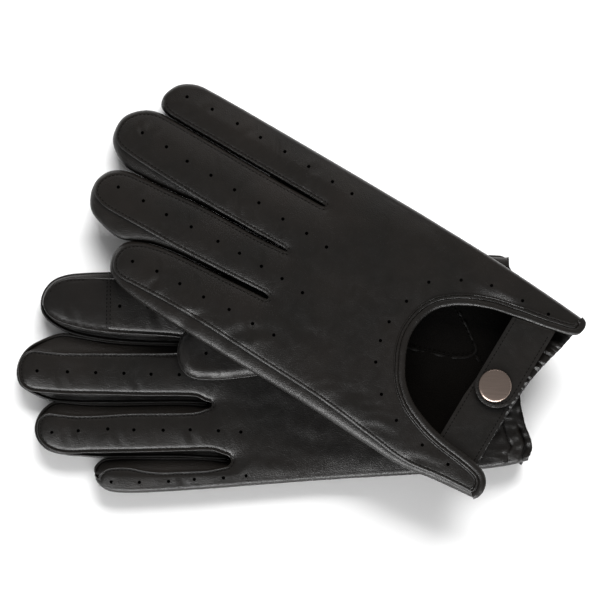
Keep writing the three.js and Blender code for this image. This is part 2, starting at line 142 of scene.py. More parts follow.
def distance(points, line):
    """Each point's distance to a line, and the length along the line where it is nearest."""
    best = np.full(len(points), 1e9)
    along = np.zeros(len(points))
    s = arc_length(line)
    for i in range(len(line) - 1):
        a, d = line[i], line[i + 1] - line[i]
        t = np.clip(((points - a) @ d) / (d @ d + 1e-12), 0, 1)
        r = np.linalg.norm(points - a - t[:, None] * d, axis=1)
        near = r < best
        best[near] = r[near]
        along[near] = s[i] + t[near] * (s[i + 1] - s[i])
    return best, along


def nearest(points, others):
    """Each point's distance to the nearest of the others."""
    if not len(others):
        return np.full(len(points), 1e9)
    tree = kdtree.KDTree(len(others))
    for i, (x, y) in enumerate(others):
        tree.insert((x, y, 0), i)
    tree.balance()
    return np.array([tree.find((x, y, 0))[2] for x, y in points])


def inside(points, loop):
    """Which points lie inside a closed loop."""
    x, y = points[:, 0], points[:, 1]
    found = np.zeros(len(points), bool)
    for (ax, ay), (bx, by) in zip(loop, np.roll(loop, -1, axis=0)):
        if ay != by:
            crosses = (ay > y) != (by > y)
            found ^= crosses & (x < (bx - ax) * (y - ay) / (by - ay) + ax)
    return found


def smooth(x, low, high):
    """Goes from 0 at low to 1 at high, level at both."""
    t = np.clip((x - low) / (high - low), 0, 1)
    return t * t * (3 - 2 * t)


def ramp(x, soft):
    """About 0 for a negative x and x for a positive one, rounded between over a length of soft."""
    return 0.5 * (x + np.sqrt(x * x + soft * soft))


def bell(x, centre, width):
    """A bump of height 1."""
    return np.exp(-(((x - centre) / width) ** 2))


def edge_rise(near, width):
    """1 at an edge, falling to 0 at width from it."""
    return (1 - np.minimum(near / width, 1)) ** 2


def circle(centre, radius, sides):
    a = np.arange(sides) * 2 * math.pi / sides
    return np.column_stack([centre[0] + radius * np.cos(a), centre[1] + radius * np.sin(a)])


# ---------------------------------------------------------------- the two gloves' outlines

# Of each finger: "face", the edge of the face that lies up, and "whole", its outline from above, both from
# the index side of its base round the tip to the little-finger side.
LEFT_FINGERS = [
    {"face": [(127, -49.6), (160, -49.6), (192, -49.5), (204, -48.8), (211.6, -46.6), (217, -42),
        (219.2, -37), (218.6, -33.8), (215.5, -32), (208, -31.5), (190, -31.7), (160, -31.9),
        (132.5, -32.1)],
     "whole": [(127, -51.4), (160, -51.3), (188, -51.1), (201, -50.8), (210, -50), (217, -46),
        (220.2, -40.5), (220.7, -36), (219.3, -32.8), (215.5, -31), (208, -30.7), (190, -30.9),
        (160, -31.2), (132.5, -31.7)]},
    {"face": [(133, -30.9), (160, -30.2), (190, -29.9), (210, -29.7), (218, -29.3), (223, -27.8),
        (227.5, -24.4), (230.8, -19.5), (231.4, -14.5), (229.8, -9.4), (226, -7), (220, -6), (200, -5.2),
        (180, -4.8), (160, -5), (137.5, -5.5)],
     "whole": [(133, -31.1), (160, -30.6), (190, -30.4), (210, -30.3), (218, -30), (223, -28.6),
        (228, -25), (231.6, -20), (232.3, -14.5), (230.6, -8), (226, -3.6), (219, -0.3), (210, -0.3),
        (200, -1.0), (180, -3.0), (160, -4.2), (137.5, -5.0)]},
    {"face": [(137, -4.4), (150, -3.3), (165, -2.9), (180, -2.2), (190, -1.2), (200, -0.2), (210, 0.6),
        (217.5, 2.0), (222.5, 5), (225.6, 9.6), (226.2, 14), (224.2, 18), (218, 20.4), (210, 20.5),
        (195, 20), (178, 19.6), (160, 18.5), (134, 16.6)],
     "whole": [(137, -4.8), (150, -3.8), (165, -3.5), (180, -2.8), (190, -1.8), (200, -0.8), (210, -0.1),
        (218, 1.3), (223.4, 4.4), (226.6, 9.4), (227.3, 14), (226, 19.5), (222, 25.2), (214, 28.4),
        (204, 29.6), (197, 27), (190, 24), (178, 21.7), (160, 19.8), (134, 17.3)]},
    {"face": [(133, 18.9), (150, 20.2), (170, 21.8), (180, 22.8), (189, 24.5), (195, 26.8), (199.6, 30.4),
        (201.4, 35), (201, 39.4), (198.8, 43), (195, 44.6), (185, 44.2), (170, 43.4), (150, 43.2),
        (127, 44)],
     "whole": [(133, 18.4), (150, 19.8), (170, 21.4), (180, 22.4), (189.5, 24.1), (196, 26.2),
        (200.8, 29.8), (202.7, 35), (202.2, 40), (199.5, 45), (193, 48), (183, 49.5), (170, 50.2),
        (150, 50.6), (127, 50.8)]},
]
RIGHT_FINGERS = [
    {"face": [(130, -48.4), (160, -48.6), (184, -49.2), (198, -50.4), (207, -50.6), (213, -48.9),
        (217.2, -45), (219, -40.4), (218, -35.8), (214, -32), (207, -29), (198, -26.4), (188, -24.5),
        (175, -22.9), (160, -21), (147.5, -18.4)],
     "whole": [(130, -50.6), (160, -51), (184, -51.5), (200, -52), (208, -51.6), (214, -49.7),
        (218.5, -45.2), (220.2, -40), (219.6, -35), (216, -30.6), (209, -26.2), (200, -23.2),
        (188, -20.6), (175, -18.9), (160, -17.5), (147.5, -16.5)]},
    {"face": [(148, -13.4), (160, -13), (180, -14), (200, -15.3), (210, -16), (219, -17.2),
        (225.5, -18.2), (229.4, -16.6), (232, -12.5), (232.5, -8), (231.6, -3.6), (228.4, -0.4),
        (220, 1.3), (210, 2.5), (195, 3.7), (175, 5.4), (158, 6.5), (151, 7.4), (146.8, 9.8)],
     "whole": [(148, -15.4), (160, -16.6), (175, -18.1), (190, -20), (203, -23), (212, -24.7),
        (221, -22.4), (228, -18.8), (232, -13.5), (233.3, -8), (232.4, -3.4), (229, -0.2), (220, 4.6),
        (210, 6.6), (195, 7.8), (175, 8.9), (158, 9.8), (147, 11)]},
    {"face": [(147, 13.9), (151, 14.9), (156, 15.1), (168, 14.5), (182, 13.8), (200, 13.7), (209, 13.1),
        (216, 11.9), (221.2, 11.4), (224.4, 14.2), (225.5, 18.6), (224.5, 23), (221, 27), (214, 29.6),
        (200, 30.3), (180, 31.3), (160, 32), (145, 32.8), (139.6, 35)],
     "whole": [(148, 12), (158, 10.8), (172, 10), (186, 9.4), (200, 8.4), (209, 7.2), (216, 6.4),
        (221, 8.6), (224.8, 12.8), (226.6, 18.6), (225.4, 23.4), (221.5, 27.8), (213, 30.5), (205, 31.7),
        (196, 32.8), (180, 33.7), (160, 34.9), (140, 37.2)]},
    {"face": [(139.6, 41.2), (148, 42.2), (160, 42), (170, 41.7), (177, 40.6), (184, 38.8), (190, 38.3),
        (195.5, 39), (198.4, 41.6), (198.4, 44.6), (195, 47), (188, 48), (175, 48.3), (150, 48.1),
        (125, 47.7)],
     "whole": [(139.5, 38.6), (150, 36.8), (165, 35.6), (180, 34.7), (190, 34.2), (196.5, 34.8),
        (199.8, 37.6), (200.7, 41), (199.4, 45), (195, 48.8), (187, 50.3), (175, 50.8), (150, 50.8),
        (125, 50.4)]},
]
LEFT_SIDES = {
    "index_face": [(3, -46.2), (20, -47.4), (50, -48.9), (90, -49.6)],
    "index_whole": [(3, -48), (20, -49.2), (50, -50.6), (90, -51.3)],
    "little_face": [(110, 44.5), (90, 45), (78, 46), (60, 48), (40, 50), (20, 47.6), (3.2, 46.4)],
    "little_whole": [(110, 50.7), (90, 51), (60, 52.3), (40, 52.8), (22, 50.2), (3.2, 48.3)],
}
RIGHT_SIDES = {
    "index_face": [(3.4, -43.6), (12, -45.6), (30, -46.4), (60, -47.4), (100, -48.2)],
    "index_whole": [(3.8, -47.8), (12, -48.8), (30, -49.4), (60, -50.1), (100, -50.4)],
    "little_face": [(100, 47.4), (70, 47.2), (40, 46.8), (20, 46.2), (8, 45.2), (-0.6, 43.4)],
    "little_whole": [(100, 50), (70, 49.9), (40, 49.8), (20, 49.2), (8, 48.2), (0, 46.6)],
}
KEYHOLE = [
    (3.2, -48), (0.9, -46.9), (0.2, -44), (1.2, -40.8), (4.5, -38.9), (11, -37.2), (20, -35.2), (31, -33),
    (41, -30.6), (50, -27), (57, -22.8), (62.6, -17.6), (66, -10.5), (66.9, -3), (65.6, 4), (62.6, 11),
    (57.5, 19), (49.5, 25.3), (40, 29.3), (31, 31.7), (20, 33), (11, 34.4), (5.6, 36.2), (2.6, 39.5),
    (1.6, 43.5), (2.2, 46.6), (3.4, 48.3),
]
RIGHT_KEYHOLE = [(max(x, 3.2), y) for x, y in KEYHOLE[:4]] + KEYHOLE[4:]
LEFT_CUFF = [
    (1.6, -42.5), (3.6, -33), (6.4, -22), (8.6, -10), (9.2, 0), (9.6, 12), (9.8, 24), (9.2, 33),
    (5, 41.5), (2, 44.5),
]
RIGHT_CUFF = [
    (3.2, -42.4), (2.8, -34), (2.6, -24), (2.8, -10), (3, 0), (2.8, 12), (2.2, 22), (0.6, 31), (-1.4, 37),
    (-1.6, 41), (-0.4, 44),
]
LEFT_HOLES = [
    (211, -42.6), (198, -43.6), (184.5, -43.8), (172, -43.7), (159, -43.8), (146, -43.5), (133, -43),
    (122.5, -42.8), (220, -17.7), (207, -17.8), (195.3, -17), (182.5, -17), (169.7, -16.8), (157, -17.4),
    (143.7, -16.6), (131, -16.5), (120, -15.8), (216.5, 9.5), (203.2, 9), (190.7, 9), (178, 8),
    (164, 7.4), (152.7, 7), (141, 7), (130, 7), (118.7, 7.7), (193, 35.4), (181, 33.5), (169, 33),
    (156.5, 32.6), (143.5, 31.5), (131, 31.5), (120, 31), (17.2, -41.6), (30.5, -40.8), (46.3, -39.4),
    (59.5, -34.4), (71.7, -26), (76, -13.3), (78, -1.2), (77, 8.2), (73.8, 17.7), (64, 29), (52, 35.7),
    (36, 39.3), (21.3, 40.9),
]
RIGHT_HOLES = [
    (184, -36.3), (171, -35.2), (158, -34.6), (145, -34), (132, -33.6), (205, -38.4), (224, -8.8),
    (210, -7.5), (197, -6.3), (184, -5.2), (171.5, -4), (158.5, -3), (219, 20), (206.7, 20), (193, 20),
    (181, 21.2), (167.5, 22.2), (155, 22.7), (142, 24), (131.7, 25.2), (193, 44.6), (180, 45.6),
    (166.5, 46), (154.5, 45.8), (141, 45.9), (130.5, 45.6),
]
# A thumb's outline, clockwise from its index-side base, and where it is perforated.
RIGHT_THUMB = [
    (84, -36), (100, -34), (120, -30.8), (136, -28.2), (147, -26.4), (153, -23.6), (156.8, -18.8),
    (158.3, -13), (157.4, -7.2), (154.4, -2.8), (149, -0.7), (140, 0), (128, -0.4), (114, -1.8),
    (98, -4.4), (84, -8), (74, -14), (71, -23), (75, -31.5),
]
LEFT_THUMB = [
    (84, -46), (100, -45.5), (120, -44.6), (140, -43.6), (150, -42), (156.4, -37.6), (159, -31.4),
    (156.8, -24.6), (150.6, -20), (140, -18.4), (120, -18.6), (100, -19.4), (84, -21.5), (75, -26),
    (72, -33.5), (76, -41.5),
]
# Seams inside the left palm: round the foot of the thumb, and a short one across it.
THUMB_FOOT = [
    (84, 6), (72, 5.6), (61, 3.5), (52.5, 0.7), (43.2, -2.8), (37.5, -7), (36.5, -10.5), (41.2, -14.6),
    (51.2, -21.1), (62, -27), (74, -31),
]
PALM_DART = [
    (37, -9), (31, -6.5), (24, -4.5), (17, -4),
]
# Creases in the leather: each a line, and how deep and how wide it is.
LEFT_CREASES = [
    ([(150, 38), (160, 45), (168, 49)], 0.5, 2.0), ([(172, 30), (178, 37), (182, 43)], 0.4, 1.7),
    ([(120, 28), (132, 36), (140, 45)], 0.45, 2.4), ([(221, -24), (223, -17), (222, -9)], 0.4, 1.5),
    ([(214, -25), (216, -18), (215, -10)], 0.3, 1.5), ([(198, -46), (200, -40), (198, -34)], 0.35, 1.8),
    ([(176, -47), (179, -40), (177, -34)], 0.3, 1.7), ([(205, 2), (207, 9), (206, 17)], 0.35, 1.7),
    ([(165, -27), (167, -18), (165, -8)], 0.25, 2.0), ([(66, 30), (78, 38), (84, 46)], 0.3, 2.8),
    ([(46, 42), (60, 44), (72, 49)], 0.3, 2.0), ([(22, 44), (34, 46), (44, 51)], 0.3, 1.8),
    ([(60, -42), (72, -44), (88, -50)], 0.3, 2.2), ([(26, -37), (38, -35), (52, -31)], 0.8, 2.6),
    ([(92, -30), (100, -38), (104, -48)], 0.35, 2.8), ([(118, -28), (108, -22), (98, -18)], 0.35, 3.2),
    ([(126, -6), (112, -2), (100, -4)], 0.3, 3.2), ([(122, 18), (108, 22), (94, 20)], 0.35, 3.0),
    ([(140, -46), (146, -40), (148, -34)], 0.3, 1.8), ([(186, 5), (188, 12), (187, 18)], 0.25, 1.6),
    ([(186, -27), (182, -21), (180, -14)], 0.3, 1.1), ([(166, -48), (162, -43), (160, -37)], 0.3, 1.0),
    ([(168, -15), (164, -10), (160, -7)], 0.3, 1.0), ([(146, 0), (141, 7), (138, 14)], 0.3, 1.2),
    ([(148, -18), (143, -11), (139, -6)], 0.3, 1.1), ([(165, 26), (160, 33), (157, 40)], 0.4, 1.3),
    ([(138, 24), (133, 31), (127, 40)], 0.45, 1.5), ([(184, 28), (180, 34), (179, 42)], 0.35, 1.1),
    ([(224, -22), (222, -19), (218, -17)], 0.35, 1.0), ([(42, -44), (50, -40), (58, -40)], 0.15, 1.1),
    ([(30, -45), (37, -42), (46, -43)], 0.15, 1.1), ([(52, 36), (60, 38), (68, 44)], 0.14, 1.2),
    ([(58, 32), (66, 36), (76, 40)], 0.12, 1.1), ([(76, 34), (88, 38), (96, 46)], 0.12, 1.3),
]
RIGHT_CREASES = [
    ([(176, -8), (179, -3), (178, 4)], 0.3, 1.6), ([(152, 16), (155, 23), (153, 31)], 0.35, 1.8),
    ([(205, -46), (207, -39), (205, -30)], 0.35, 1.7), ([(166, -44), (168, -35), (166, -24)], 0.35, 1.8),
    ([(187, 15), (189, 22), (187, 29)], 0.25, 1.5), ([(130, 34), (118, 38), (104, 39)], 0.2, 2.6),
    ([(136, 12), (124, 14), (110, 12)], 0.2, 2.8), ([(112, 26), (98, 32), (84, 33)], 0.2, 2.8),
    ([(60, 44), (52, 36), (46, 26)], 0.15, 2.6), ([(84, 46), (74, 38), (66, 28)], 0.15, 2.6),
    ([(212, -14), (214, -8), (213, 0)], 0.3, 1.6), ([(158, 42), (160, 46), (158, 50)], 0.3, 1.5),
    ([(212, 14), (213, 20), (212, 27)], 0.25, 1.5),
]


def left_base(x, y):
    """Height of the lower face of the left glove, which lies over the right one and hangs down past it."""
    drape = 4.5 * smooth(x, 25, 90) - 0.185 * ramp(x - 0.5 * y - 122, 22)
    edge = 0.0025 * np.maximum(0, -y - 10) ** 2 * smooth(x, 40, 110)
    return ramp(18.5 + drape - edge, 2)


def right_base(x, y):
    """Height of the right glove, its cuff lifted a little by the snap under it."""
    return 2.6 * (1 - smooth(x, 45, 110)) + 0 * y


# ---------------------------------------------------------------- meshes

def triangulate(loop, holes, step, guides=()):
    """Points and triangles that fill a closed loop around its holes. Guides are lines to follow closely."""
    loops = [loop, *holes]
    low, high = loop.min(0), loop.max(0)
    row_step = step * 0.866
    nx, ny = int((high[0] - low[0]) / step) + 2, int((high[1] - low[1]) / row_step) + 2
    gx, gy = np.meshgrid(np.arange(nx), np.arange(ny))
    columns = (low[0] + (gx + 0.5 * (gy % 2)) * step).ravel()
    grid = np.column_stack([columns, (low[1] + gy * row_step).ravel()])
    keep = inside(grid, loop)
    for ring in loops:
        near, _ = distance(grid, np.vstack([ring, ring[:1]]))
        keep &= near > 0.6 * step
    for ring in holes:
        keep &= ~inside(grid, ring)
    followed = [grid[:0]]
    for line in guides:
        line = line[inside(line, loop)]
        line = line[distance(line, np.vstack([loop, loop[:1]]))[0] > 0.3]
        for ring in holes:
            line = line[distance(line, ring)[0] > 0.6]
        keep &= nearest(grid, line) > 0.55 * step
        line = line[nearest(line, np.vstack(followed)) > 0.3]
        followed.append(line)
    points, edges, start = [], [], 0
    for ring in loops:
        n = len(ring)
        points.extend(ring.tolist())
        edges.extend((start + i, start + (i + 1) % n) for i in range(n))
        start += n
    points.extend(grid[keep].tolist() + np.vstack(followed).tolist())
    verts, _, faces, *_ = delaunay_2d_cdt([Vector(p) for p in points], edges, [], 0, 1e-5)
    verts = np.array([v[:] for v in verts])
    faces = np.array([f for f in faces if len(f) == 3])
    middle = verts[faces].mean(1)
    keep = inside(middle, loop)
    for ring in holes:
        keep &= ~inside(middle, ring)
    faces = faces[keep]
    a, b, c = verts[faces[:, 0]], verts[faces[:, 1]], verts[faces[:, 2]]
    area = (b[:, 0] - a[:, 0]) * (c[:, 1] - a[:, 1]) - (b[:, 1] - a[:, 1]) * (c[:, 0] - a[:, 0])
    solid = np.abs(area) > 1e-7
    faces, turned_over = faces[solid], area[solid] < 0
    faces[turned_over] = faces[turned_over][:, ::-1]
    used, index = np.unique(faces, return_inverse=True)
    return verts[used], index.reshape(-1, 3)


def grid_faces(rows, columns, closed=False):
    """The quads of a grid of rows x columns points; closed joins its last column to its first."""
    quads = []
    for r in range(rows - 1):
        for c in range(columns if closed else columns - 1):
            d = (c + 1) % columns
            quads.append((r * columns + c, r * columns + d, (r + 1) * columns + d, (r + 1) * columns + c))
    return quads


def tube_faces(rows, columns):
    """The faces of a closed tube, with both ends."""
    n = rows * columns
    ends = [tuple(range(columns))[::-1], tuple(range(n - columns, n))]
    return grid_faces(rows, columns, closed=True) + ends


class Mesh:
    """Points and faces that are gathered and made into one object."""

    def __init__(self):
        self.points = []
        self.faces = []
        self.count = 0

    def add(self, points, faces, flip=False):
        self.points.append(np.asarray(points, float))
        for face in faces:
            shifted = tuple(int(i) + self.count for i in face)
            self.faces.append(shifted[::-1] if flip else shifted)
        self.count += len(points)

    def make(self, name, materials, weld=0.02, thickness=0.0):
        """The object. Weld joins points closer than that, and thickness is added inwards, both in mm."""
        data = bpy.data.meshes.new(name)
        data.from_pydata(np.vstack(self.points).tolist(), [], self.faces)
        data.update()
        made = bpy.data.objects.new(name, data)
        bpy.context.scene.collection.objects.link(made)
        for material in materials:
            data.materials.append(material)
        if weld:
            modify(made, "WELD", merge_threshold=weld * MM)
        if thickness:
            modify(made, "SOLIDIFY", thickness=thickness * MM, offset=-1, use_even_offset=False,
                   material_offset=len(materials) - 1, material_offset_rim=len(materials) - 1)
        turn_outward(made.data)
        made.data.polygons.foreach_set("use_smooth", [True] * len(made.data.polygons))
        made.data.set_sharp_from_angle(angle=SHARP)
        return made


def turn_outward(data):
    """Turns a closed mesh whose faces look inward inside out."""
    shape = bmesh.new()
    shape.from_mesh(data)
    if not any(edge.is_boundary for edge in shape.edges) and shape.calc_volume(signed=True) < 0:
        bmesh.ops.reverse_faces(shape, faces=shape.faces)
        shape.to_mesh(data)
    shape.free()


def modify(made, kind, **settings):
    """Adds a modifier and applies it."""
    modifier = made.modifiers.new(kind.title(), kind)
    for key, value in settings.items():
        setattr(modifier, key, value)
    bpy.context.view_layer.update()
    evaluated = made.evaluated_get(bpy.context.evaluated_depsgraph_get())
    data = bpy.data.meshes.new_from_object(evaluated)
    made.modifiers.clear()
    old = made.data
    made.data = data
    data.name = made.name
    bpy.data.meshes.remove(old)


def rumple(x, y, size, seed):
    """Smooth noise between about -1 and 1, with lumps of about the given size."""
    return np.array([noise.noise(Vector((a / size, b / size, seed))) for a, b in zip(x, y)])


class Glove:
    """The outlines and heights of one glove, and its place on the table."""

    def __init__(self, name, palm_up, fingers, sides, wrist, under_wrist, holes, creases, thumb, base,
                 position, turn):
        self.name = name
        self.palm_up = palm_up
        self.base = base
        self.position = position
        self.turn = math.radians(turn)
        self.holes = holes
        self.thumb = thumb
        self.seed = 3.7 if palm_up else 11.3
        self.wrist = curve(wrist)
        self.under_wrist = curve(under_wrist)
        self.creases = [(curve(line, 2), depth, width) for line, depth, width in creases]
        self.halves = self._halves(fingers)
        self.side = {key: curve(points, 1.4) for key, points in sides.items()}
        self._match_sides()
        self._rims()

    def _halves(self, fingers):
        """Each finger's index half and little half: its face's edge, whole outline and lower edge."""
        halves = []
        for finger in fingers:
            face, whole = curve(finger["face"], 1.1), curve(finger["whole"], 0.6)
            tip, whole_tip = int(face[:, 0].argmax()), int(whole[:, 0].argmax())
            for a, b in ((face[: tip + 1], whole[: whole_tip + 1]), (face[tip:], whole[whole_tip:])):
                b = resample(b, count=len(a))
                halves.append({"face": a, "whole": b, "under": b + UNDER_INSET * normals(b)})
        for i in range(1, 7, 2):
            one, other = halves[i], halves[i + 1]
            for key, back in (("face", 2.6), ("whole", 2.2), ("under", 2.0)):
                a, b = one[key][-1], other[key][0]
                turn = np.linspace(0, math.pi, 9)[:, None]
                bend = (a + b) / 2 + (a - b) / 2 * np.cos(turn) - np.array([(back, 0)]) * np.sin(turn)
                one[key] = np.vstack([one[key], bend[1:5]])
                other[key] = np.vstack([bend[4:-1], other[key]])
        return halves

    def _match_sides(self):
        """The same three lines for each side of the hand."""
        for side in ("index", "little"):
            face = self.side[f"{side}_face"]
            whole = resample(self.side[f"{side}_whole"], count=len(face))
            self.side[side] = {"face": face, "whole": whole, "under": whole + UNDER_INSET * normals(whole)}

    def _rims(self):
        """The closed edge of each face, and the lines along which the upper face is sewn. It's folded down
        on one side of the hand and sewn on the other."""
        index, little, halves = self.side["index"], self.side["little"], self.halves
        run = [index, *halves, little]
        self.lines = {key: np.vstack([part[key] for part in run]) for key in ("face", "whole", "under")}
        index_side, little_side = [index, halves[0]], [halves[7], little]
        if self.palm_up:
            self.sewn_side, self.folded = index_side, little_side
            sewn = [[index, *halves[:2]], halves[6:7]]
        else:
            self.folded, self.sewn_side = index_side, little_side
            sewn = [halves[1:2], [*halves[6:], little]]
        runs = (halves[2:4], halves[4:6], *sewn)
        self.seams = [np.vstack([part["face"] for part in run]) for run in runs]

    def lay(self, x, y, h):
        """Glove space to the shared frame, in metres."""
        c, s = math.cos(self.turn), math.sin(self.turn)
        z = self.base(x, y) + h
        return np.column_stack([self.position[0] + c * x - s * y, self.position[1] + s * x + c * y, z]) * MM

    def place(self, x, y, h):
        """The same of one point."""
        return Vector(self.lay(np.array([x]), np.array([y]), np.array([h]))[0])

    def up(self, p):
        """Height of the upper face's outside."""
        x, y = p[:, 0], p[:, 1]
        near, _ = distance(p, self.lines["whole"])
        h = THICKNESS - (1.6 + 0.8 * smooth(x, 20, 60)) * edge_rise(near, 13)
        h += 0.5 * rumple(x, y, 34, self.seed) * smooth(x, 10, 50) + 0.22 * rumple(x, y, 11, self.seed + 5)
        if not self.palm_up:  # the finger that lies over the other glove's edge rounds off towards it
            h -= 1.7 * smooth(x, 85, 120) * np.clip((y - 24) / 22, 0, 1) ** 2
        for seam in self.seams:
            d, s = distance(p, seam)
            if self.palm_up:  # the stitches lie in a groove
                h -= 0.35 * bell(d, RIGHT_ROW, 0.55)
            else:
                h -= 0.45 * edge_rise(d, 1.0) + 0.2 * bell(d, 1.5, 0.4)
            pucker = 0.5 + 0.5 * np.sin(s * math.pi / STITCH["pitch"])
            h -= 0.06 * pucker * bell(d, 2.0, 1.2)
        for line, depth, width in self.creases:
            d, s = distance(p, line)
            ends = np.sin(np.clip(s / arc_length(line)[-1], 0, 1) * math.pi) ** 0.7
            h -= depth * ends * (bell(d, 0, width) - 0.6 * bell(d, 2.1 * width, width))
        if self.palm_up:
            d, _ = distance(p, self.wrist)
            gather = smooth(-x, -24, -3)
            h += gather * (0.2 * np.sin(y * 1.5 + 6 * rumple(x, y, 12, 2.2)) + 0.7 * rumple(x, y, 4, 8.1))
            h += 1.2 * edge_rise(d, 2.0) - 0.9 * bell(d, HEM, 0.6)
            h -= 1.7 * smooth(y, 27, 33) * bell(d, 2.7, 0.6)  # the mouth of the rolled hem
        return h

    def down(self, p):
        """Height of the lower face's outside."""
        near, _ = distance(p, self.lines["whole"])
        h = 0.15 + 1.4 * edge_rise(near, 11)
        if not self.palm_up:  # the elastic draws the palm's wrist edge up towards the strap
            d, _ = distance(p, self.under_wrist)
            gather = bell(d, 0, 9) * smooth(44 - np.abs(p[:, 1]), 2, 14)
            h += gather * (4.6 + 0.5 * np.sin(p[:, 1] * 1.3 + 2.5 * rumple(p[:, 0], p[:, 1], 14, 5.1)))
        return h

    def sheet(self, mesh, loop, holes, step, height, flip, guides=()):
        """A face of the glove."""
        flat, faces = triangulate(loop, holes, step, guides)
        mesh.add(self.lay(flat[:, 0], flat[:, 1], height(flat)), faces, flip)

    def add(self, mesh, name, materials, slot, nodes=(), body="glove", **how):
        """Makes a piece that rides on one of the glove's bodies, in place of some of its CAD nodes."""
        piece = mesh.make(f"{self.name}_{name}", materials, **how)
        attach(piece, f"{self.name}_{body}")
        if nodes:
            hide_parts(*(f"{self.name}_{node}" for node in nodes))

    def wall(self, mesh, parts, drop=0.0, tuck=0.0, sag=0.0, hollow=False):
        """The side of a finger or hand, from the upper face's edge out to its outline and in to the lower
        face. A hollow one falls steeply from the face's edge and then runs out to the outline nearly flat."""
        top = np.vstack([part["face"] for part in parts])
        whole = np.vstack([part["whole"] for part in parts])
        under = np.vstack([part["under"] for part in parts])
        high, low = self.up(top) - drop, self.down(under)
        middle = 0.5 * (high + low) - 0.6
        top = top + tuck * normals(top)
        rows = []
        for i in range(6):
            if hollow:
                rows.append((top + (whole - top) * i / 6, high + (middle - high) * (i / 6) ** 0.6))
                continue
            t = i / 6 * math.pi / 2
            xy = top + (whole - top) * math.sin(t)
            rows.append((xy, middle + (high - middle) * math.cos(t) ** 0.6 - sag * math.sin(2 * t) ** 2))
        for i in range(6):
            t = i / 5 * math.pi / 2
            xy = under + (whole - under) * math.cos(t)
            rows.append((xy, middle + (low - middle) * math.sin(t)))
        points = np.vstack([self.lay(xy[:, 0], xy[:, 1], h) for xy, h in rows])
        mesh.add(points, grid_faces(len(rows), len(top)), flip=True)


def rod(mesh, centres, directions, ups, length, radius, sides=6):
    """Many short thick threads, each lying along its direction."""
    stations = [(-1.0, 0.0), (-0.86, 0.62), (-0.45, 1.0), (0.45, 1.0), (0.86, 0.62), (1.0, 0.0)]
    across = np.cross(ups, directions)
    turn = np.arange(sides) * 2 * math.pi / sides
    rings = []
    for along, thick in stations:
        middle = centres + directions * along * length / 2 - ups * 0.5 * radius * along * along
        round_it = across[:, None] * np.cos(turn)[:, None] + ups[:, None] * np.sin(turn)[:, None]
        rings.append(middle[:, None] + round_it * radius * max(thick, 0.02))
    points = np.stack(rings, 1).reshape(-1, 3)
    n = len(stations) * sides
    one = tube_faces(len(stations), sides)
    faces = [tuple(k * n + i for i in face) for k in range(len(centres)) for face in one]
    mesh.add(points, faces, flip=True)


def stitch(mesh, g, line, height, pitch=STITCH["pitch"], radius=STITCH["radius"], sink=0.2, side=1):
    """A row of stitches along a line in glove space, sunk so far into the surface that height gives. side
    is -1 where that surface looks down."""
    length = STITCH["length"]
    s = arc_length(line)
    at = np.arange(pitch / 2, s[-1], pitch)
    ends = []
    for shift in (-length / 2, length / 2):
        p = np.column_stack([np.interp(at + shift, s, line[:, k]) for k in range(2)])
        ends.append(g.lay(p[:, 0], p[:, 1], height(p) + side * (radius - sink)))
    centres = (ends[0] + ends[1]) / 2
    directions = ends[1] - ends[0]
    directions /= np.linalg.norm(directions, axis=1)[:, None]
    ups = np.tile((0.0, 0.0, float(side)), (len(at), 1))
    ups -= (ups * directions).sum(1)[:, None] * directions
    ups /= np.linalg.norm(ups, axis=1)[:, None]
    rod(mesh, centres, directions, ups, length * MM, radius * MM)


def welt(mesh, g, line, height, radius, sides=8):
    """A thin round edge of leather along a line in glove space, standing at the given heights."""
    line, level = line[1:-1], height[1:-1]
    out = normals(line)
    turn = np.arange(sides) * 2 * math.pi / sides
    taper = np.minimum(1, np.minimum(np.arange(len(line)), np.arange(len(line))[::-1]) / 2 + 0.15)
    rings = []
    for c, sn in zip(np.cos(turn), np.sin(turn)):
        at = line + out * (radius * c * taper)[:, None]
        rings.append(g.lay(at[:, 0], at[:, 1], level + radius * sn * taper))
    mesh.add(np.stack(rings, 1).reshape(-1, 3), tube_faces(len(line), sides), flip=True)


def offset(line, by):
    """A line moved to its left."""
    return line + by * normals(line)


# ---------------------------------------------------------------- materials

def blank(name):
    """A new material, and its nodes, links, shader and texture coordinates."""
    made = bpy.data.materials.new(name)
    made.use_nodes = True
    nodes, links = made.node_tree.nodes, made.node_tree.links
    return made, nodes, links, nodes["Principled BSDF"], nodes.new("ShaderNodeTexCoord").outputs["Object"]


def put(node, values):
    """Sets a node's sockets by name."""
    for socket, value in values.items():
        node.inputs[socket].default_value = value
    return node


def bumps(nodes, links, shader, layers):
    """Bumps on a shader, each a source, its strength and its height in mm."""
    previous = None
    for source, strength, height in layers:
        bump = put(nodes.new("ShaderNodeBump"), {"Strength": strength, "Distance": height * MM})
        links.new(source, bump.inputs["Height"])
        if previous:
            links.new(previous.outputs["Normal"], bump.inputs["Normal"])
        previous = bump
    links.new(previous.outputs["Normal"], shader.inputs["Normal"])


def gloss(nodes, links, shader, source, values):
    """Roughness that follows a source."""
    mapped = put(nodes.new("ShaderNodeMapRange"), values)
    links.new(source, mapped.inputs["Value"])
    links.new(mapped.outputs["Result"], shader.inputs["Roughness"])


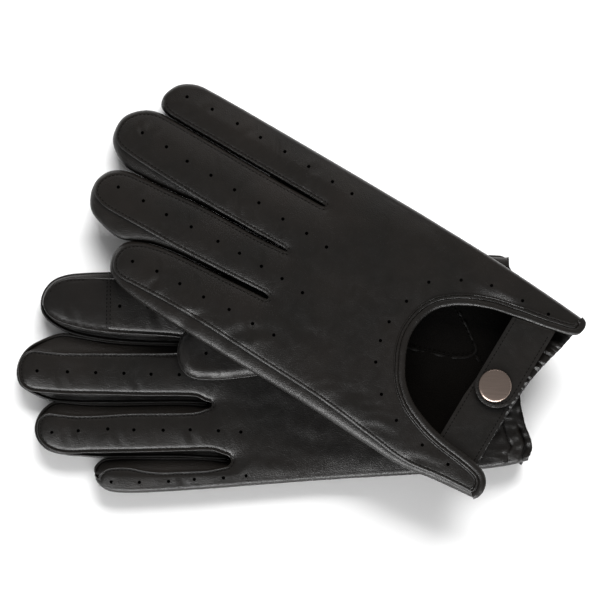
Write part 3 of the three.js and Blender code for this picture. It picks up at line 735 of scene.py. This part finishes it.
def leather(name, dark, light, rough=(0.3, 0.46), grain=1.0, specular=0.3):
    """Dyed leather: fine grain and pores over slow changes of colour and gloss."""
    made, nodes, links, shader, place = blank(name)

    def texture(kind, values):
        node = put(nodes.new(kind), values)
        links.new(place, node.inputs["Vector"])
        return node

    patches = texture("ShaderNodeTexNoise", {"Scale": 38, "Detail": 3, "Roughness": 0.55})
    cells = texture("ShaderNodeTexVoronoi", {"Scale": 1150})
    cells.feature = "DISTANCE_TO_EDGE"
    pores = texture("ShaderNodeTexNoise", {"Scale": 1900, "Detail": 3, "Roughness": 0.65})
    folds = texture("ShaderNodeTexNoise", {"Scale": 210, "Detail": 5, "Roughness": 0.62, "Distortion": 0.6})

    colour = nodes.new("ShaderNodeMix")
    colour.data_type = "RGBA"
    put(colour, {"A": (*dark, 1), "B": (*light, 1)})
    links.new(patches.outputs["Fac"], colour.inputs["Factor"])
    links.new(colour.outputs["Result"], shader.inputs["Base Color"])
    gloss(nodes, links, shader, folds.outputs["Fac"],
          {"From Min": 0.3, "From Max": 0.7, "To Min": rough[0], "To Max": rough[1]})
    sources = (folds.outputs["Fac"], 0.36), (cells.outputs["Distance"], 0.22), (pores.outputs["Fac"], 0.08)
    bumps(nodes, links, shader, [(source, 0.55 * grain, height) for source, height in sources])
    put(shader, {"Specular IOR Level": specular})
    return made


def metal(name, colour, rough, brushed):
    """Metal brushed in one direction."""
    made, nodes, links, shader, place = blank(name)
    put(shader, {"Base Color": (*colour, 1), "Metallic": 1})
    stretch = put(nodes.new("ShaderNodeMapping"), {"Scale": (90, 2600, 400), "Rotation": (0, 0, 0.5)})
    lines = put(nodes.new("ShaderNodeTexNoise"), {"Scale": 1, "Detail": 3})
    links.new(place, stretch.inputs["Vector"])
    links.new(stretch.outputs["Vector"], lines.inputs["Vector"])
    gloss(nodes, links, shader, lines.outputs["Fac"], {"To Min": rough - 0.08, "To Max": rough + 0.12})
    bumps(nodes, links, shader, [(lines.outputs["Fac"], brushed, 0.02)])
    return made


def woven(name, colour):
    """Thread or elastic, with fine ribs."""
    made, nodes, links, shader, place = blank(name)
    put(shader, {"Base Color": (*colour, 1), "Roughness": 0.9, "Specular IOR Level": 0.06})
    ribs = put(nodes.new("ShaderNodeTexWave"), {"Scale": 420, "Distortion": 0.6})
    links.new(place, ribs.inputs["Vector"])
    bumps(nodes, links, shader, [(ribs.outputs["Fac"], 0.6, 0.1)])
    return made


BLACK = leather("black_leather", (0.0028, 0.0029, 0.0026), (0.0092, 0.0072, 0.006))
TOUCH = leather("touch_leather", (0.003, 0.003, 0.0028), (0.0085, 0.0068, 0.006), rough=(0.3, 0.42),
                grain=0.6)
FLESH = leather("flesh_side", (0.0008, 0.0007, 0.0006), (0.003, 0.0026, 0.0022), rough=(0.85, 0.95),
                grain=1.6, specular=0.04)
SEAM_EDGE = leather("inner_seam_edge", (0.001, 0.0009, 0.0008), (0.004, 0.0034, 0.003), rough=(0.55, 0.7),
                    specular=0.08)
THREAD = woven("thread", (0.0022, 0.002, 0.0018))
CAP = metal("cap_metal", (0.36, 0.28, 0.24), 0.27, 0.6)
NICKEL = metal("snap_metal", (0.22, 0.21, 0.2), 0.32, 0.3)
BAND = woven("elastic_band", (0.008, 0.008, 0.008))


# ---------------------------------------------------------------- the pieces of one glove

def pierced(centres):
    """The edges of perforations."""
    return [circle(c, PERFORATION, HOLE_SIDES) for c in centres]


def dimple(height, centres):
    """A height with a slight dip round each perforation."""
    def dipped(p):
        h = height(p)
        for c in centres:
            r = np.linalg.norm(p - c, axis=1)
            h -= 0.05 * bell(np.maximum(r - PERFORATION, 0), 0, 0.7)
        return h
    return dipped


def make_panels(g):
    """The back and the palm, each a face with one of its sides folded round the hand."""
    rim = np.vstack([g.lines["face"], g.wrist[::-1]])
    up = Mesh()
    insets = (0.4, 0.8, 1.15, 1.5, 1.85, 2.4)
    guides = [offset(resample(seam, 0.9), by) for seam in g.seams for by in insets]
    if g.palm_up:
        edge = resample(g.wrist, 0.9)
        insets = (1.6, 2.1, 2.7, 3.3, 3.8, HEM - 0.9, HEM - 0.45, HEM, HEM + 0.45)
        guides += [offset(edge, -by) for by in insets]
    g.sheet(up, rim, pierced(g.holes), UP_STEP, dimple(g.up, g.holes), flip=False, guides=guides)
    g.wall(up, g.folded)
    under = np.vstack([g.lines["under"], g.under_wrist[::-1]])
    down = Mesh()
    g.sheet(down, under, [], DOWN_STEP, g.down, flip=True)
    g.wall(down, g.sewn_side, drop=0.5, tuck=0.8)
    for mesh, face in zip((up, down), ("palm", "back") if g.palm_up else ("back", "palm")):
        g.add(mesh, face, [BLACK, FLESH], "black_leather", [f"{face}_panel"], thickness=LEATHER)


def make_inner_seam(g):
    """Inside the palm, the seam allowance round the foot of the thumb, seen through the keyhole."""
    rows, ridge = Mesh(), Mesh()
    for points in (THUMB_FOOT, PALM_DART):
        line = curve(points, 0.9)
        level = g.down(line) + LEATHER - 0.55 + 1.1 * rumple(line[:, 0], line[:, 1], 3, 1.9)
        welt(ridge, g, line, level, 0.9)
        stitch(rows, g, offset(line, 1.1), lambda p: g.down(p) + LEATHER + 0.25, pitch=2.2, radius=0.24)
    g.add(ridge, "inner_seam", [SEAM_EDGE], "inner_leather", weld=0)
    g.add(rows, "inner_stitches", [THREAD], "inner_leather", weld=0)


def make_side_strips(g):
    """The strips between the fingers."""
    names = ["index_side_strip", "middle_inner_strip", "middle_outer_strip", "ring_inner_strip",
             "ring_outer_strip", "little_side_strip"]
    for node, half in zip(names, g.halves[1:7]):
        strip = Mesh()
        g.wall(strip, [half], drop=0.75, tuck=0.9, sag=0.5, hollow=g.palm_up)
        g.add(strip, f"{node}_leather", [BLACK, FLESH], "black_leather", [node], thickness=LEATHER)


def tip_cut(y):
    """Where the touch-screen leather ends, as an x for each y."""
    return np.interp(y, TIP_CUT[:, 1], TIP_CUT[:, 0])


def on_tip_patch(p):
    """Which points of the right glove's palm side are under the touch-screen leather."""
    return (p[:, 1] < TIP_CUT[1][1]) & (p[:, 0] > tip_cut(p[:, 1]))


def make_seams(g):
    """The stitches of the upper face's seams. The right glove is sewn edge to edge, so that both edges of
    each side strip stand out, and its cuff has a sewn hem."""
    def over_patch(p):
        return g.up(p) + TIP_LEATHER * on_tip_patch(p)

    rows = Mesh()
    for seam in g.seams:
        if g.palm_up:
            stitch(rows, g, offset(seam, RIGHT_ROW), over_patch, sink=0.22)
        else:
            stitch(rows, g, offset(seam, LEFT_ROW), g.up)
    g.add(rows, "seam_stitches", [THREAD], "black_leather", weld=0)
    if not g.palm_up:
        return
    rows = Mesh()
    stitch(rows, g, offset(g.wrist, -HEM)[3:-3], g.up, sink=0.17)
    g.add(rows, "hem_stitches", [THREAD], "black_leather", weld=0)
    lips = Mesh()
    for seam in g.seams:
        line = resample(seam, 0.9)
        welt(lips, g, line, g.up(line) + 0.12, 0.42)
    index, middle, ring, little = zip(g.halves[::2], g.halves[1::2])
    for run in ((g.side["index"], *index), middle, ring, little[:1]):
        line = resample(np.vstack([part["whole"] for part in run]), 0.9)
        welt(lips, g, line, np.full(len(line), LIP_HEIGHT), 0.75)
    g.add(lips, "seam_lips", [BLACK], "black_leather", weld=0)


def tape_section(side):
    """Across the binding: distance from the opening's edge, and height over the leather's outside."""
    over = [(4.95, -0.3), (4.9, 0.2), (4.65, 0.4), (4.42, 0.42), (4.15, 0.06), (3.88, 0.42), (3.4, 0.5),
            (2.98, 0.46), (2.7, 0.06), (2.42, 0.48), (1.8, 0.76), (1.1, 0.86), (0.4, 0.76), (-0.2, 0.4),
            (-0.5, 0.0)]
    below = [(-0.6, -0.5), (-0.4, -1.05), (0.2, -1.45), (1.9, -1.5), (3.4, -1.4), (4.95, -0.95)]
    return [(n, side * h) for n, h in over + below]


def make_binding(g):
    """A tape folded over the opening's edge and sewn twice."""
    side = -1 if g.palm_up else 1
    surface = g.down if g.palm_up else g.up
    edge = curve(RIGHT_KEYHOLE if g.palm_up else KEYHOLE, 0.9)
    out = -normals(edge)
    section = tape_section(side)
    ripple = 0.12 * rumple(edge[:, 0], edge[:, 1], 6, 4.4)
    rows = []
    for n, h in section:
        at = edge + max(n, 0.0) * out
        rows.append(g.lay(*(edge + (n + ripple[:, None]) * out).T, surface(at) + h + 0.5 * ripple))
    tape = Mesh()
    tape.add(np.stack(rows, 1).reshape(-1, 3), tube_faces(len(edge), len(section)), flip=side < 0)
    g.add(tape, "keyhole_tape", [BLACK], "black_leather", ["keyhole_binding"], weld=0)
    rows = Mesh()
    for n in BINDING_ROWS:
        line = edge[2:-2] + n * out[2:-2]
        stitch(rows, g, line, lambda p: surface(p) + side * 0.14, side=side)
    g.add(rows, "binding_stitches", [THREAD], "black_leather", weld=0)


def pad(g, loop, middle, half, bevel, top=None, pits=()):
    """A closed piece whose faces lie half its thickness over and under a middle surface, with rounded
    edges. Pits are holes right through it."""
    flat, faces = triangulate(loop, list(pits), 1.1)
    near = distance(flat, np.vstack([loop, loop[:1]]))[0]
    share = np.clip(near / bevel, 0.02, 1)
    rise = (half(flat) if callable(half) else half) * np.sqrt(1 - (1 - share) ** 2)
    extra = top(flat, near) * smooth(near, 0, 0.8) if top else 0.0
    n = len(flat)
    over = g.lay(flat[:, 0], flat[:, 1], middle(flat) + rise + extra)
    under = g.lay(flat[:, 0], flat[:, 1], middle(flat) - rise)
    made = Mesh()
    made.add(np.vstack([over, under]), np.vstack([faces, faces[:, ::-1] + n]))
    edges = {(int(f[k]), int(f[(k + 1) % 3])) for f in faces for k in range(3)}
    made.faces += [(b, a, a + n, b + n) for a, b in sorted(edges) if (b, a) not in edges]
    return made


def strap_loop(inset=0.0):
    """The strap's outline: straight sides and a round tip."""
    half = (STRAP_X[1] - STRAP_X[0]) / 2 - inset
    centre = (STRAP_X[0] + STRAP_X[1]) / 2
    a = np.linspace(0, math.pi, 34)
    tip = np.column_stack([centre + half * np.cos(a), SNAP[1] - 0.4 + half * np.sin(a)])
    start = HINGE[1] - 7 + inset
    right_edge = resample(np.array([(centre + half, start), tip[0]]), step=1.1)[:-1]
    left_edge = resample(np.array([tip[-1], (centre - half, start)]), step=1.1)[1:]
    return np.vstack([right_edge, tip, left_edge])


def strap_middle(p, level):
    """The strap runs level over the wrist and dips under the binding at its sewn end."""
    under = -p[:, 1] - np.interp(p[:, 0], (11, 31), (37.2, 33.0))
    dip = 2.4 * smooth(under, -1.8, 1.4)
    bend = 0.25 * np.sin((p[:, 1] + 30) * math.pi / 30) * smooth(-p[:, 1], -2, 4)
    return level - dip - bend + 0.12 * rumple(p[:, 0], p[:, 1], 9, 6.6)


def tab_loop(inset=0.0):
    """The tab's outline: straight sides and a free end with cut corners."""
    low, high = TAB_X[0] + inset, TAB_X[1] - inset
    corners = [(high, TAB_ROOT), (high, 10), (high - 1.2, -4 - inset), (high - 3.4, -8.2 + inset),
               (high - 6, -9 + inset), (low + 6, -9 + inset), (low + 3.4, -8.2 + inset),
               (low + 1.2, -4 - inset), (low, 10), (low, TAB_ROOT)]
    pieces = [resample(np.array(pair), step=1.1)[:-1] for pair in zip(corners, corners[1:] + corners[:1])]
    return np.vstack(pieces)[::-1]


def tab_middle(p, level):
    """The tab rises towards its sewn end."""
    return level + 1.75 * smooth(p[:, 1], 1, 12) + 0.12 * rumple(p[:, 0], p[:, 1], 9, 2.6)


def level_of(g, z):
    """A height given from the palm, as a height over the face that lies down."""
    return THICKNESS - z if g.palm_up else z


def turned(g, profile, sides=56):
    """A body of revolution about the snap's axis, from radii and heights over the palm."""
    a = np.arange(sides) * 2 * math.pi / sides
    rows = []
    for r, h in profile:
        at = np.array([SNAP]) + r * np.column_stack([np.cos(a), np.sin(a)])
        level = g.base(np.array([SNAP[0]]), np.array([SNAP[1]]))[0] - g.base(at[:, 0], at[:, 1])
        rows.append(g.lay(at[:, 0], at[:, 1], level_of(g, h) + level))
    made = Mesh()
    made.add(np.vstack(rows), grid_faces(len(rows), sides, closed=True), flip=not g.palm_up)
    return made


SNAP_PROFILES = {
    "snap_cap": [(0.002, 14.55), (1.5, 14.53), (3, 14.48), (4.5, 14.4), (5.8, 14.3), (6.7, 14.2),
                 (7.1, 14.07), (7.45, 13.8), (7.6, 13.45), (7.5, 13.05), (7.1, 12.85), (1.5, 12.8),
                 (1.5, 9.95), (0.002, 9.95)],
    "snap_socket": [(1.9, 9.95), (3.6, 9.95), (3.85, 9.8), (3.9, 9.5), (3.9, 9.1), (4.1, 9), (5, 9),
                    (5.4, 9.2), (5.5, 9.5), (5.35, 10.1), (5.1, 10.5), (4.7, 10.6), (1.9, 10.6), (1.9, 9.95)],
    "snap_stud": [(0.002, 9.65), (1.9, 9.65), (2.6, 9.6), (3.1, 9.42), (3.3, 9.2), (3.15, 8.98), (2.9, 8.9),
                  (1.6, 8.9), (1.6, 9.3), (0.002, 9.3)],
    "snap_post": [(0.002, 6), (3.9, 6), (4.4, 6.1), (4.6, 6.3), (4.4, 6.5), (3.9, 6.6), (1.2, 6.6), (1.2, 9),
                  (0.002, 9)],
}


def make_closure(g):
    """The strap, the tab and the snap fastener. The strap dips under the binding at its sewn end."""
    side = -1 if g.palm_up else 1
    hinge, beyond = (g.place(HINGE[0], HINGE[1] + along, level_of(g, HINGE_LEVEL)) for along in (0, 8))

    def across(mesh, name, material, slot, nodes=()):
        piece = mesh.make(f"{g.name}_{name}", [material], weld=0)
        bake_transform(piece)
        if nodes:
            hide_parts(*(f"{g.name}_{node}" for node in nodes))

    def strap_at(level):
        return lambda p: level_of(g, strap_middle(p, level))

    def tab_at(level):
        return lambda p: level_of(g, tab_middle(p, level))

    outer = pad(g, strap_loop(), strap_at(STRAP_LEVEL), STRAP_HALF, 0.7)
    lining = pad(g, strap_loop(0.35), strap_at(STRAP_LINING_LEVEL), LINING_HALF, 0.5)
    across(outer, "strap_leather", BLACK, "black_leather", ["strap"])
    across(lining, "strap_inside", FLESH, "inner_leather", ["strap_lining"])
    rows = Mesh()
    edge = strap_loop(1.75)
    stitch(rows, g, edge[4:-4], lambda p: strap_at(STRAP_LEVEL)(p) + side * STRAP_HALF, side=side)
    across(rows, "strap_stitches", THREAD, "black_leather")

    outer = pad(g, tab_loop(), tab_at(TAB_LEVEL), TAB_HALF, 0.7)
    lining = pad(g, tab_loop(0.35), tab_at(TAB_LINING_LEVEL), LINING_HALF, 0.5)
    g.add(outer, "tab_leather", [BLACK], "black_leather", ["tab"], weld=0)
    g.add(lining, "tab_inside", [FLESH], "inner_leather", ["tab_lining"], weld=0)
    rows = Mesh()
    for x in (TAB_X[0] + 1.7, TAB_X[1] - 1.7):
        line = resample(np.array([(x, 4.0), (x, TAB_ROOT - 1)]), step=1)
        stitch(rows, g, line, lambda p: tab_at(TAB_LEVEL)(p) + side * TAB_HALF, side=side)
    g.add(rows, "tab_stitches", [THREAD], "black_leather", weld=0)

    for node, profile in SNAP_PROFILES.items():
        material, slot = (CAP, "cap_metal") if node == "snap_cap" else (NICKEL, "snap_metal")
        body = "strap" if node in ("snap_cap", "snap_socket") else "glove"
        g.add(turned(g, profile), f"{node}_turned", [material], slot, [node], body, weld=0.004)


def make_thumb(g):
    """The thumb lies flat against the palm, its seam along its edge."""
    loop = curve([*g.thumb, g.thumb[0]], 1.1)[:-1]
    foot, side = (12.4, 1) if g.palm_up else (-0.5, -1)

    def half(p):
        return 3.55 * (0.1 + 0.9 * smooth(p[:, 0], 72, 112))

    def middle(p):
        return foot + side * half(p)

    def crown(p, near):
        lumps = 0.35 * rumple(p[:, 0], p[:, 1], 13, 7.7) * np.clip(near / 6, 0, 1)
        return lumps - 0.3 * bell(near, 1.5, 0.6)

    made = pad(g, loop, middle, half, 5.0, top=crown, pits=pierced([THUMB_HOLE]) if g.palm_up else [])
    g.add(made, "thumb_leather", [BLACK, FLESH], "black_leather", ["thumb"], weld=0)
    seam = resample(np.vstack([loop, loop[:3]]), 0.9)
    lip = Mesh()
    welt(lip, g, seam, middle(seam), 0.45)
    g.add(lip, "thumb_seam", [BLACK], "black_leather", weld=0)


def make_facing(g):
    """The hem of the palm, turned in at the wrist over the elastic and gathered by it."""
    cuff = curve(RIGHT_CUFF if g.palm_up else LEFT_CUFF, 0.8)
    gathers = 1.35 if g.palm_up else 2.3

    def lie(inset, drop=0.0):
        at = cuff + (inset, 0.0)
        phase = at[:, 1] * gathers + 2.2 * rumple(at[:, 0], at[:, 1], 12, 2.2)
        z = 2.35 - 1.1 * edge_rise(inset, 1.8) - drop
        z = z + 0.45 * np.sin(phase) * (1 - inset / 10.5)
        if not g.palm_up:
            z = z + g.down(at) - 0.3
        return g.lay(at[:, 0], at[:, 1], level_of(g, z))

    pieces = [("cuff_hem", "cuff_facing", BLACK, "inner_leather", np.arange(0.1, 10, 0.85), 0.0, 0.5),
              ("elastic_band", "wrist_elastic", BAND, "elastic", np.arange(2.2, 8.6, 0.8), 0.55, 0.35)]
    for name, node, material, slot, insets, drop, thickness in pieces:
        made = Mesh()
        made.add(np.vstack([lie(inset, drop) for inset in insets]), grid_faces(len(insets), len(cuff)),
                 flip=g.palm_up)
        g.add(made, name, [material], slot, [node], weld=0, thickness=thickness)


def make_tip_patch(g):
    """Touch-screen leather over the index fingertip's palm side, its edge across the finger sewn twice."""
    key = "face" if g.palm_up else "under"
    surface = g.up if g.palm_up else g.down
    side = 1 if g.palm_up else -1
    edge = np.vstack([g.halves[0][key], g.halves[1][key]])
    edge = edge + 0.35 * normals(edge)
    edge = edge[edge[:, 0] > tip_cut(edge[:, 1]) + 0.3]
    ends = np.array([(tip_cut(y), y) for y in (edge[-1, 1], edge[0, 1])])
    loop = np.vstack([edge, resample(ends, step=1.1)])
    flat, faces = triangulate(loop, [], 1.1)
    made = Mesh()
    made.add(g.lay(flat[:, 0], flat[:, 1], surface(flat) + side * TIP_LEATHER), faces, flip=side < 0)
    g.add(made, "index_touch_tip", [TOUCH], "touch_leather", ["index_tip_patch"], weld=0.004, thickness=0.5)
    rows = Mesh()
    for shift, lift in ((0.8, TIP_LEATHER), (-0.8, 0.0)):
        row = resample(ends[::-1], step=1) + (shift, 0)
        stitch(rows, g, row[1:-1], lambda p, lift=lift: surface(p) + side * lift, side=side)
    g.add(rows, "tip_stitches", [THREAD], "black_leather", weld=0)


left = Glove("left", False, LEFT_FINGERS, LEFT_SIDES, KEYHOLE, LEFT_CUFF, np.array(LEFT_HOLES),
             LEFT_CREASES, LEFT_THUMB, left_base, (107.59, -56.79), 149.1)
right = Glove("right", True, RIGHT_FINGERS, RIGHT_SIDES, RIGHT_CUFF, RIGHT_KEYHOLE, np.array(RIGHT_HOLES),
              RIGHT_CREASES, RIGHT_THUMB, right_base, (103.19, -33.64), 183.5)
for glove in (left, right):
    make_panels(glove)
    make_side_strips(glove)
    make_seams(glove)
    make_binding(glove)
    make_closure(glove)
    make_thumb(glove)
    make_facing(glove)
    make_tip_patch(glove)
make_inner_seam(left)


# ---------------------------------------------------------------- table, light and camera

def make_stage():
    """A plain white table."""
    paper = bpy.data.materials.new("white_paper")
    paper.use_nodes = True
    put(paper.node_tree.nodes["Principled BSDF"],
        {"Base Color": (0.93, 0.93, 0.93, 1), "Roughness": 0.9, "Specular IOR Level": 0.1})
    floor = Mesh()
    floor.add([(TABLE * x, TABLE * y, 0) for x, y in ((-1, -1), (1, -1), (1, 1), (-1, 1))], [(0, 1, 2, 3)])
    floor.make("table", [paper], weld=0)


def softbox(name, at, size, power, gloss=True, diffuse=True):
    """A rectangular light that looks at the origin, for gloss, for diffuse colour or for both."""
    light = bpy.data.lights.new(name, "AREA")
    light.shape = "RECTANGLE"
    light.size, light.size_y = size
    light.energy = power
    lamp = bpy.data.objects.new(name, light)
    bpy.context.scene.collection.objects.link(lamp)
    lamp.location = at
    lamp.visible_glossy = gloss
    lamp.visible_diffuse = diffuse
    lamp.rotation_euler = (-Vector(at)).to_track_quat("-Z", "Y").to_euler()


def make_camera():
    """A camera that looks straight down, its field so wide at about the gloves' height."""
    data = bpy.data.cameras.new("camera")
    data.sensor_width = 36
    data.lens = 36 * (CAMERA_HEIGHT - 0.02) / (CAMERA_FIELD * MM)
    data.clip_end = 20
    camera = bpy.data.objects.new("camera", data)
    camera.location = (CAMERA_CENTRE[0] * MM, CAMERA_CENTRE[1] * MM, CAMERA_HEIGHT)
    bpy.context.scene.collection.objects.link(camera)
    bpy.context.scene.camera = camera


make_stage()
softbox("key", (0.25, 1.15, 0.95), (1.5, 0.8), 52, gloss=False)
softbox("sheen", (0.1, 1.5, 0.8), (1.2, 0.3), 1.6)
softbox("fill", (-0.1, -1.35, 0.6), (1.7, 0.3), 18)
softbox("rim", (-0.2, -1.3, 0.55), (1.7, 0.25), 26, diffuse=False)
softbox("gloss", (-0.45, -1.0, 1.0), (0.8, 0.3), 7, diffuse=False)
world = bpy.data.worlds.new("studio")
world.use_nodes = True
world.node_tree.nodes["Background"].inputs["Color"].default_value = (1, 1, 1, 1)
world.node_tree.nodes["Background"].inputs["Strength"].default_value = 0.3
bpy.context.scene.world = world
bpy.context.scene.view_settings.view_transform = "Standard"
make_camera()
